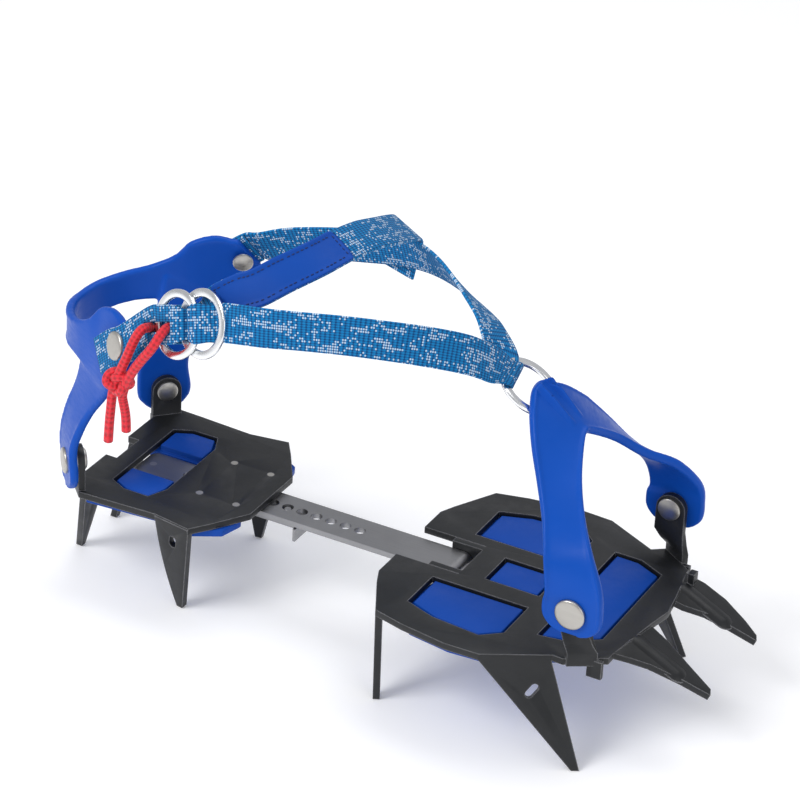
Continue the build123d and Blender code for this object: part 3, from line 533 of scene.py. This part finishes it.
def leaned_in(stations):
    """The inner leg's stations, drawn in towards the foot between the lug and the instep."""
    drawn = []
    for (px, py, pz), normal, width in stations:
        inset = LEAN_IN * max(0.0, 1 - ((pz - LEAN_MID) / LEAN_SPAN) ** 2)
        drawn.append(((px, py - inset, pz), normal, width))
    return drawn


def rounded_end(centre, facing, radius, flat, turns):
    """Stations round a leg's lower end: an arc on each side of a flat stretch."""
    stations = []
    for turn in turns:
        point = Vector(centre) + Vector((0, 0, radius * sin(radians(turn))))
        stations.append((tuple(point), tuple(facing), flat + 2 * radius * cos(radians(turn))))
    return stations


def toe_basket(look):
    leg = rounded_end(TOE_END, (0, -1, 0), 10.0, 7.0, (-84, -62, -40, -18)) + TOE_LEG
    stations = leg + [(tuple(APEX), tuple(APEX_N), 29)] + leaned_in(mirrored_stations(leg, TOE_Y))
    section = rimmed_section(0.55, 1.5)
    obj = loft("toe_basket_moulding", smooth_rows(stations, 1.3), section, look)
    # the underside keeps the fold that holds the ring
    axes = (APEX_F, Vector((0, 1, 0)), APEX_N)
    wall = (2.0, 9.0, 5.0)
    pieces = [obj]
    for size, forward, out in (((11.4, 9.0, 1.4), -3.2, -6.3), (wall, -7.9, -4.2), (wall, 1.5, -4.2)):
        pieces.append(box_piece(size, APEX + APEX_F * forward + APEX_N * out, axes))
    join(pieces)
    outer, inner, half = RING_R + 0.5, RING_BORE - 0.5, 1.3
    profile = [(outer, -half), (outer, half), (inner, half), (inner, -half)]
    ring_room = lathe("ring_room", profile, FRONT_RING, APEX_N, look)
    fused(obj, 0.6, 3, cutters=[ring_room])
    draw_in_tab(obj)
    raise_ridges(obj)
    return obj


def clamped(value):
    return min(1.0, max(0.0, value))


def draw_in_tab(obj):
    """The rear edge draws in to a short tab and the legs flare out from it."""
    for v in obj.data.vertices:
        p = v.co / MM + ORIGIN - APEX
        near_rear = clamped((TAB_START - p.dot(APEX_F)) / TAB_RUN)
        near_middle = clamped((TAB_REACH - abs(p.y)) / TAB_REACH * 1.6)
        draw = TAB_DRAW_INNER if p.y > 0 else TAB_DRAW_OUTER
        v.co.y -= p.y * draw * near_rear * near_middle * MM


def raise_ridges(obj):
    """Two ridges run down from the rear edge and fade out towards the crotch."""
    for v in obj.data.vertices:
        p = v.co / MM + ORIGIN - APEX
        fade = clamped((RIDGE_END - p.dot(APEX_F)) / RIDGE_RUN)
        if p.dot(APEX_N) > 0 and v.normal.dot(APEX_N) > 0.4 and fade > 0:
            middle = RIDGE_GAP * (1 - 0.15 * (1 - fade))
            profile = max(0.0, 1 - ((abs(p.y) - middle) / RIDGE_HALF) ** 2)
            v.co += APEX_N * RIDGE_RISE * fade * profile * MM


def box_piece(size, centre, axes):
    mesh = bpy.data.meshes.new("block")
    bm = bmesh.new()
    bmesh.ops.create_cube(bm, size=1.0)
    for v in bm.verts:
        offset = axes[0] * v.co.x * size[0] + axes[1] * v.co.y * size[1] + axes[2] * v.co.z * size[2]
        v.co = place(Vector(centre) + offset)
    bmesh.ops.recalc_face_normals(bm, faces=bm.faces)
    bm.to_mesh(mesh)
    bm.free()
    obj = bpy.data.objects.new("block", mesh)
    bpy.context.collection.objects.link(obj)
    return obj


def join(objects):
    """The first object takes in the others' meshes."""
    target = objects[0]
    bm = bmesh.new()
    for obj in objects:
        bm.from_mesh(obj.data)
    bm.to_mesh(target.data)
    bm.free()
    for obj in objects[1:]:
        bpy.data.objects.remove(obj)
    return target


def fused(obj, voxel, passes, cutters=()):
    """Overlapping closed shells made into one moulding, with soft inner corners."""
    for cutter in cutters:
        modifier = obj.modifiers.new("room", "BOOLEAN")
        modifier.operation = "DIFFERENCE"
        modifier.object = cutter
        modifier.use_self = True
    remesh = obj.modifiers.new("fuse", "REMESH")
    remesh.mode = "VOXEL"
    remesh.voxel_size = voxel * MM
    soften = obj.modifiers.new("soften", "SMOOTH")
    soften.factor = 0.5
    soften.iterations = passes
    apply(obj)
    for cutter in cutters:
        bpy.data.objects.remove(cutter)
    obj.data.shade_smooth()
    return obj


def heel_basket(look):
    stations = mirrored_stations(BAND[1:], HEEL_Y) + BAND
    band = loft("heel_basket_moulding", smooth_rows(stations, 1.3), rimmed_section(0.6, 1.6, 0.36, 0.64),
                look)
    shells = [band]
    leg = rounded_end(HEEL_END, HEEL_FACING, 12.5, 0.0, (-84, -60, -36, -12)) + HEEL_LEG
    for stations in (leg, mirrored_stations(leg, HEEL_Y)):
        section = rimmed_section(0.5, 1.5, rim_to=0.5)
        shells.append(loft("leg", smooth_rows(stations, 1.3), section, look))
    join(shells)
    return fused(band, 0.75, 9)


# ---------------------------------------------------------------- webbing
# the runs as stations (point, outward normal)
HEEL_TAB = [((33.2, -49.1, 118.5), (-0.58, -0.81, 0.10)), ((36.9, -50.3, 122.2), (-0.55, -0.82, 0.16)),
            ((41.8, -52.0, 126.5), (-0.50, -0.84, 0.20)), ((48.3, -53.8, 131.2), (-0.47, -0.85, 0.22))]
MAIN = [((116.5, -61.7, 162.2), (-0.16, -0.95, 0.24)), ((131.3, -58.5, 163.6), (0.1, -0.97, 0.20)),
        ((147.1, -53.0, 164.0), (0.22, -0.94, 0.25)), ((161.7, -46.0, 162.9), (0.32, -0.90, 0.30)),
        ((175.5, -36.5, 160.0), (0.40, -0.80, 0.42)), ((186.8, -26.0, 155.4), (0.42, -0.70, 0.56)),
        ((192.5, -17.5, 150.0), (0.42, -0.60, 0.68))]
INNER = [((184.6, 8.4, 147.3), (0.46, 0.16, 0.86)), ((174.0, 17.0, 151.3), (0.36, 0.45, 0.80)),
         ((150, 31, 156), (0.20, 0.85, 0.50)), ((128, 41, 154.5), (0.1, 0.97, 0.2)),
         ((100, 46.5, 147.5), (0, 1, 0.1)), ((70, 50.0, 138.5), (-0.25, 0.96, 0.12)),
         ((54, 49.6, 132.6), (-0.45, 0.87, 0.20))]
INSTEP = [((90.5, -53.3, 161.2), (-0.12, -0.91, 0.38)), ((99.5, -51.0, 168.0), (0.02, -0.89, 0.44)),
          ((106.5, -48.5, 171.5), (0.12, -0.86, 0.50)), ((113.7, -42.0, 176.3), (0.20, -0.78, 0.60)),
          ((121.8, -30.0, 180.4), (0.30, -0.62, 0.72)), ((125.6, -15.0, 181.3), (0.36, -0.42, 0.83)),
          ((128.2, -1.0, 180.4), (0.42, -0.12, 0.90)), ((130.2, 12.0, 177.4), (0.46, 0.28, 0.84)),
          ((129.2, 27, 172), (0.40, 0.65, 0.62)), ((127.2, 39.4, 166.0), (0.25, 0.88, 0.35)),
          ((123.4, 45.8, 156), (0.12, 0.97, 0.2)), ((121.6, 46.6, 150), (0.12, 0.98, 0.1)),
          ((119.8, 46.9, 141), (0.12, 0.98, 0.05))]

# the strap's turn round the instep ring: the way it leaves, its width, and the step at its rear
FOLD_AWAY = Vector((-0.811, -0.213, 0.544)).normalized()
FOLD_W = 16.5
FOLD_MIDDLE = (6.6, 0.0, pi / 2, 0.0)
LAYER = 0.78                 # half the distance between the two layers of the heel tab


def buckle_point(along, out):
    return BUCKLE + ALONG * along + OUTWARD * out


def with_width(stations, width=WEB_W):
    return [(p, n, width) for p, n in stations]


def in_buckle(path):
    """Stations in the buckle's own plane; the normal is square to the path there."""
    rows = []
    for i, (along, out, width) in enumerate(path):
        before, after = path[max(i - 1, 0)], path[min(i + 1, len(path) - 1)]
        run = Vector((after[0] - before[0], after[1] - before[1])).normalized()
        normal = ALONG * -run.y + OUTWARD * run.x
        rows.append((tuple(buckle_point(along, out)), tuple(normal), width))
    return rows


def heel_tab(look):
    """The loop that holds the rings: its outer layer goes over them, folds, and comes back under them."""
    over = [(-14.5, 2.6, WEB_W), (-8, 3.15, WEB_W), (-1, 3.1, WEB_W), (3.2, 2.7, NARROW + 1),
            (5.0, 1.5, NARROW), (5.3, 0, NARROW), (5.0, -1.5, NARROW), (3.2, -2.7, NARROW + 1),
            (-1, -3.1, WEB_W), (-8, -3.1, WEB_W), (-14.5, 0.9, WEB_W)]
    outer = [(tuple(Vector(p) + Vector(n) * LAYER), n, WEB_W) for p, n in HEEL_TAB]
    inner = [(tuple(Vector(p) - Vector(n) * LAYER), tuple(-Vector(n)), WEB_W) for p, n in reversed(HEEL_TAB)]
    looped = in_buckle(over)
    split = len(looped) - 3
    obj = webbing("heel_tab_webbing", outer + looped[:split + 1], look, 0.9)
    under = webbing("heel_tab_inner_layer", looped[split:] + inner, look, 0.9)
    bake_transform(under)
    slit = box_piece((17.4, 4.2, 5.0), buckle_point(-10.2, 3.4) + ACROSS * 0.9, (ALONG, ACROSS, OUTWARD))
    modifier = obj.modifiers.new("slit", "BOOLEAN")
    modifier.operation = "DIFFERENCE"
    modifier.solver = "EXACT"
    modifier.object = slit
    apply(obj)
    bpy.data.objects.remove(slit)
    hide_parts("heel_tab")
    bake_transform(obj)


def split_and_blend(name, rows, look, cuts, bodies, node):
    """One run of strap as pieces that meet edge to edge, each lying between two neighbouring bodies.

    bodies names those two bodies for each piece; a piece whose two are the same is attached to that body, and
    the others are left in place.
    """
    for k, (low, high) in enumerate(zip(cuts, cuts[1:])):
        part = [r for i, r in enumerate(rows) if low <= i <= high]
        piece = loft(f"{name}_{k + 1}", part, web_section, look, caps=False)
        a, b = bodies[k]
        if a == b:
            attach(piece, a)
        else:
            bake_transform(piece)
        if k == 0:
            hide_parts(*node)


def index_near(rows, x):
    return min(range(len(rows)), key=lambda i: abs(rows[i][0].x - x))


def ring_fold(steps):
    """Stations round the instep ring's rear.

    Each step is (distance from the ring's centre, rise, turn, shift along the fold).
    """
    crease = APEX_N.cross(FOLD_AWAY).normalized()
    stations = []
    for along, out, lean, shift in steps:
        point = FRONT_RING + FOLD_AWAY * along + APEX_N * out - crease * shift
        normal = APEX_N * cos(lean) - FOLD_AWAY * sin(lean)
        stations.append((tuple(point), tuple(normal), FOLD_W, tuple(crease)))
    return stations


def long_strap(look):
    """From the tucked tip over the instep, round the buckle, along the outer side to the instep ring."""
    turn = [(27.5, -2.6, WEB_W), (21.8, -2.7, WEB_W), (18.2, -0.2, WEB_W - 1), (15.2, 2.6, WEB_W),
            (11.5, 3.0, WEB_W), (8.9, 2.5, NARROW), (7.25, 0.5, NARROW), (7.25, -2.4, NARROW),
            (8.9, -4.4, WEB_W - 1)]
    wrap = in_buckle(turn) + [(tuple(buckle_point(13.0, -5.2) - ACROSS * 3.4), tuple(OUTWARD), WEB_W)]
    back = [(p, tuple(-Vector(n)), w) for p, n, w in reversed(wrap)]
    # one turn round the ring brings the strap's other face outwards over the instep
    inwards = [(p, tuple(-Vector(n)), w) for p, n, w in reversed(with_width(INSTEP))]
    near = with_width(MAIN)
    fold = ring_fold(((11.5, 2.5, 0.1, -4.5), (9.0, 2.3, 0.4, -2.5), (7.2, 1.3, 1.0, -0.6), FOLD_MIDDLE))
    rows = smooth_rows(inwards + back + near + fold, 1.1)
    start = index_of(rows, Vector(MAIN[0][0]))
    turned = index_of(rows, buckle_point(7.2, -1.0))
    along = [start + index_near(rows[start:], x) for x in (152, 164, 184)]
    cuts = [0, turned, start] + along + [len(rows) - 1]
    bodies = [("heel_section", "ring_a"), ("ring_a", "heel_section"), ("heel_section", "bar"),
              ("bar", "front_section"), ("front_section", "toe_basket"), ("toe_basket", "front_ring")]
    nodes = ("strap_main", "strap_buckle", "strap_instep", "strap_tip", "strap_fold")
    split_and_blend("strap_outer", rows, look, cuts, bodies, nodes)


def index_of(rows, point):
    return min(range(len(rows)), key=lambda i: (rows[i][0] - point).length)


def inner_strap(look):
    """From the instep ring along the inner side to the inner rivet."""
    fold = ring_fold((FOLD_MIDDLE, (7.2, -1.3, 2.1, 0.6), (9.5, -2.4, 2.8, 2.5)))
    start = [(p, tuple(-Vector(n)), w, a) for p, n, w, a in fold]
    sewn = mirrored_stations(with_width(HEEL_TAB), HEEL_Y)
    rows = smooth_rows(start + with_width(INNER) + sewn, 1.3)
    cuts = [0] + [index_near(rows, x) for x in (182, 160, 138, 96)] + [len(rows) - 1]
    bodies = [("front_ring", "toe_basket"), ("toe_basket", "front_section"), ("front_section", "bar"),
              ("bar", "heel_section"), ("heel_section", "heel_section")]
    split_and_blend("strap_inner", rows, look, cuts, bodies, ("strap_inner",))
    flap = [(tuple(Vector(p) - Vector(n) * 1.5), n, w) for p, n, w in reversed(sewn)]
    piece = webbing("strap_inner_sewn_end", flap, look)
    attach(piece, "heel_section")


def label(look, thread):
    """Sewn patch on the strap over the instep, with a moulded border and a row of stitches."""
    path = [(Vector(p), Vector(n).normalized()) for p, n in INSTEP[:6]]
    lifted, label_w, edge = WEB_T / 2 + 0.55, 15.6, 2.2
    stations = [(tuple(p + n * lifted), tuple(n), label_w) for p, n in path]
    rows = smooth_rows(stations, 1.0)
    total = rows[-1][3]

    def section(width, share):
        end = min(share, 1 - share) * total
        rounding = edge - sqrt(max(0.0, edge ** 2 - (edge - end) ** 2)) if end < edge else 0.0
        a = width / 2 - rounding
        h = 0.45
        rim = min(1.0, end / 1.0)
        inner = 0.26 if end > 1.6 else 0.45
        half = [(-a, -0.3), (-a + 0.1, h * 0.7), (-a + 0.4, h * rim), (-a + 1.1, h * rim),
                (-a + 1.5, inner), (-a * 0.5, inner)]
        return half + [(0.0, inner)] + [(-x, q) for x, q in reversed(half)] + [(0.0, -0.3)]

    patch = loft("label_patch_moulded", rows, section, look)
    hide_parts("label_patch")
    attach(patch, "heel_section")
    stitches = []
    pitch, long, row_at, lift = 2.3, 1.5, 5.5, 0.36
    for k in range(int((total - 4) / pitch)):
        point, normal, _, _, across = rows[index_at(rows, 2.0 + k * pitch)]
        for side in (-1, 1):
            at = point + across * side * row_at + normal * lift
            stitches.append(thread_stitch(at, normal.cross(across), normal, long))
    for k in range(5):
        for where in (edge, total - edge):
            point, normal, _, _, across = rows[index_at(rows, where)]
            at = point + across * (k - 2) * 2.2 + normal * lift
            stitches.append(thread_stitch(at, across, normal, long))
    sewn = join(stitches)
    sewn.name = "label_stitching"
    sewn.data.materials.append(thread)
    sewn.data.shade_smooth()
    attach(sewn, "heel_section")


def index_at(rows, distance):
    return min(range(len(rows)), key=lambda i: abs(rows[i][3] - distance))


def thread_stitch(point, direction, normal, length):
    """One stitch: a short rounded bead that dips into the surface at both ends."""
    mesh = bpy.data.meshes.new("stitch")
    bm = bmesh.new()
    bmesh.ops.create_uvsphere(bm, u_segments=8, v_segments=6, radius=1.0)
    across = direction.cross(normal)
    for v in bm.verts:
        offset = direction * v.co.z * length / 2 + across * v.co.x * 0.28 + normal * (v.co.y * 0.22)
        v.co = place(Vector(point) + offset)
    bm.to_mesh(mesh)
    bm.free()
    obj = bpy.data.objects.new("stitch", mesh)
    bpy.context.collection.objects.link(obj)
    return obj


# ---------------------------------------------------------------- release cord
CORD_REAR = [(60.4, -53.1, 141.9), (60.7, -57.0, 143.6), (60.0, -61.0, 144.6),
             (57.6, -62.9, 139.3), (55.0, -63.6, 131.5), (51.6, -63.4, 123.5)]
CORD_FRONT = [(71.9, -56.2, 147.0), (70.7, -58.5, 147.5), (70.6, -63.2, 146.6),
              (67.8, -65.6, 139.8), (62.6, -65.2, 132.8), (57.4, -64.2, 124.8)]
KNOT = Vector((50.3, -62.4, 117.9))
KNOT_R = 3.9
TAIL_REAR = [(47.4, -62.0, 113.6), (46.0, -61.2, 103.6), (44.8, -60.4, 95.0), (44.2, -60.0, 87.0)]
TAIL_FRONT = [(51.8, -62.4, 112.8), (52.8, -62.0, 107.6), (53.6, -61.4, 101.4), (53.4, -61.0, 95.2)]


def spline_curve(name, points, look, radius):
    data = bpy.data.curves.new(name, "CURVE")
    data.dimensions = "3D"
    data.resolution_u = 12
    data.bevel_depth = radius * MM
    data.bevel_resolution = 5
    data.use_fill_caps = True
    spline = data.splines.new("NURBS")
    spline.points.add(len(points) - 1)
    for target, point in zip(spline.points, points):
        target.co = (*place(point), 1)
    spline.order_u = 3
    spline.use_endpoint_u = True
    data.materials.append(look)
    obj = bpy.data.objects.new(name, data)
    bpy.context.collection.objects.link(obj)
    return obj


def spline_length(obj):
    """Length in metres along a curve object's middle."""
    bare = obj.data.copy()
    bare.bevel_depth = 0
    probe = bpy.data.objects.new("probe", bare)
    bpy.context.collection.objects.link(probe)
    mesh = bpy.data.meshes.new_from_object(probe)
    points = [v.co.copy() for v in mesh.vertices]
    bpy.data.objects.remove(probe)
    return sum((b - a).length for a, b in zip(points, points[1:]))


def release_cord(look):
    """Both ends of the cord come out of the tab's slot, meet in an overhand knot and hang as two tails."""
    knot = knot_piece(look)
    for name, strand, tail, nodes, pieces in (
            ("cord_rear_length", CORD_REAR, TAIL_REAR, ("cord_rear", "tail_rear"), [knot]),
            ("cord_front_length", CORD_FRONT, TAIL_FRONT, ("cord_front", "tail_front"), [])):
        cord = spline_curve(name, strand + tail, look, CORD_D / 2)
        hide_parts(*nodes)
        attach(cord, "heel_section")
        length = spline_length(cord)


def knot_piece(look):
    """Overhand knot drawn tight: one closed trefoil of the same cord."""
    points = []
    count = 18
    side, up = Vector((0.93, 0.05, 0.36)).normalized(), Vector((-0.36, 0, 0.93)).normalized()
    out = side.cross(up)
    for k in range(count):
        t = 2 * pi * k / count
        r = KNOT_R + KNOT_R * 0.42 * cos(3 * t)
        points.append(KNOT + side * r * cos(2 * t) * 1.1 + up * r * sin(2 * t) * 0.9 + out * 2.1 * sin(3 * t))
    knot = spline_curve("cord_knot_tied", points, look, CORD_D * 0.47)
    spline = knot.data.splines[0]
    spline.use_endpoint_u = False
    spline.use_cyclic_u = True
    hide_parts("cord_knot")
    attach(knot, "heel_section")
    return knot


# ---------------------------------------------------------------- fasteners
def rivet_profile(head_r, head_t, shank_r, grip, tail_r, tail_t):
    """Nearly flat head with a rounded edge, shank and flat tail, as (radius, height)."""
    head = [(0.0, head_t + 0.22), (head_r * 0.4, head_t + 0.19), (head_r * 0.75, head_t + 0.07),
            (head_r * 0.88, head_t - 0.05), (head_r * 0.95, head_t - 0.25), (head_r * 0.99, head_t - 0.55),
            (head_r, head_t * 0.4), (head_r, 0.0)]
    tail = [(tail_r, -grip), (tail_r, -grip - tail_t * 0.6),
            (tail_r * 0.85, -grip - tail_t), (0.0, -grip - tail_t)]
    return head + [(shank_r, 0.0), (shank_r, -grip)] + tail


def rivets(look):
    """A pair of each kind: piece, node, place, facing, mirror line, sizes for rivet_profile, body."""
    toe_at = Vector((TOE_AXIS_X, -49.1, TOE_AXIS_Z))
    heel_at = HEEL_RIVET + HEEL_FACING * (WASHER_T + BASKET_T)
    pairs = (
        ("toe_rivet", "toe_rivets", toe_at, Vector((0, -1, 0)), TOE_Y,
         (6.6, 1.5, 3.0, 7.6, 5.0, 1.4), "front_section"),
        ("heel_rivet", "heel_rivets", heel_at, HEEL_FACING, HEEL_Y,
         (5.6, 1.5, 2.5, 7.2, 4.6, 1.4), "heel_section"),
        ("strap_rivet", "strap_rivets", STRAP_RIVET, STRAP_FACING, HEEL_Y,
         (6.1, 1.4, 2.0, 8.6, 4.4, 1.2), "heel_section"))
    for name, node, at, axis, mirror_y, sizes, body in pairs:
        for side in ("outer", "inner"):
            piece = lathe(f"{name}_{side}", rivet_profile(*sizes), at, axis, look)
            if side == "outer":
                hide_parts(node)
            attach(piece, body)
            at = Vector((at.x, 2 * mirror_y - at.y, at.z))
            axis = Vector((axis.x, -axis.y, axis.z))


def ring(name, node, centre, axis, body, look):
    """A flat ring with rounded edges."""
    a, b, c = RING_BORE, RING_R, RING_T / 2
    r, inset = 0.5, 0.15
    inner = [(a, c - r), (a + inset, c - inset), (a + r, c)]
    outer = [(b - r, c), (b - inset, c - inset), (b, c - r)]
    upper = inner + outer
    lower = [(radius, -height) for radius, height in reversed(upper)]
    profile = lower[-1:] + upper + lower[:-1]
    piece = lathe(name, profile, centre, axis, look, 96)
    piece.data.shade_smooth()
    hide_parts(node)
    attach(piece, body)


# ---------------------------------------------------------------- the whole
camera()
studio()

steel = powder_coat()
spring_steel = bare_steel("rolled_spring_steel", (0.36, 0.36, 0.37), 0.36)
rivet_steel = bare_steel("rivet_steel", (0.56, 0.54, 0.50), 0.38)
ring_steel = zinc()
basket_blue = moulded_plastic("basket_blue", (0.003, 0.066, 0.39), 0.34)
plate_blue = moulded_plastic("plate_blue", (0.003, 0.055, 0.33), 0.42)
label_blue = moulded_plastic("label_blue", (0.003, 0.055, 0.32), 0.5)
web = woven_webbing()
red = braided_cord("red_cord", (0.80, 0.012, 0.030), (0.9, 0.30, 0.30))
thread_blue = Look("thread", (0.003, 0.018, 0.12), 0.7).material

for node, body in (("front_frame", "front_section"), ("heel_frame", "heel_section")):
    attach(bevelled(node, steel, 0.45), body)
for node, body in (("front_antiball", "front_section"), ("heel_antiball", "heel_section")):
    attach(bevelled(node, plate_blue, 0.5), body)

baskets = ((toe_basket, "toe_basket", "toe_basket"), (heel_basket, "heel_basket", "heel_section"))
for builder, node, body in baskets:
    moulding = builder(basket_blue)
    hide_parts(node)
    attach(moulding, body)

heel_tab(web)
long_strap(web)
inner_strap(web)
label(label_blue, thread_blue)
release_cord(red)
rivets(rivet_steel)
ring("front_ring_turned", "front_ring", FRONT_RING, APEX_N, "front_ring", ring_steel)
ring("ring_a_turned", "ring_a", buckle_point(0, 1.05), OUTWARD, "ring_a", ring_steel)
ring("ring_b_turned", "ring_b", buckle_point(RING_STEP, -1.05), OUTWARD, "ring_b", ring_steel)

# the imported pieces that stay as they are
plain = {spring_steel: ("link_bar", "bar_guide", "detent_spring"),
         rivet_steel: ("bar_stop", "pivot_pin", "guide_rivets", "detent_rivets",
                       "toe_washers", "heel_washers")}
for look, nodes in plain.items():
    for node in nodes:
        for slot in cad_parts[node].material_slots:
            slot.material = look
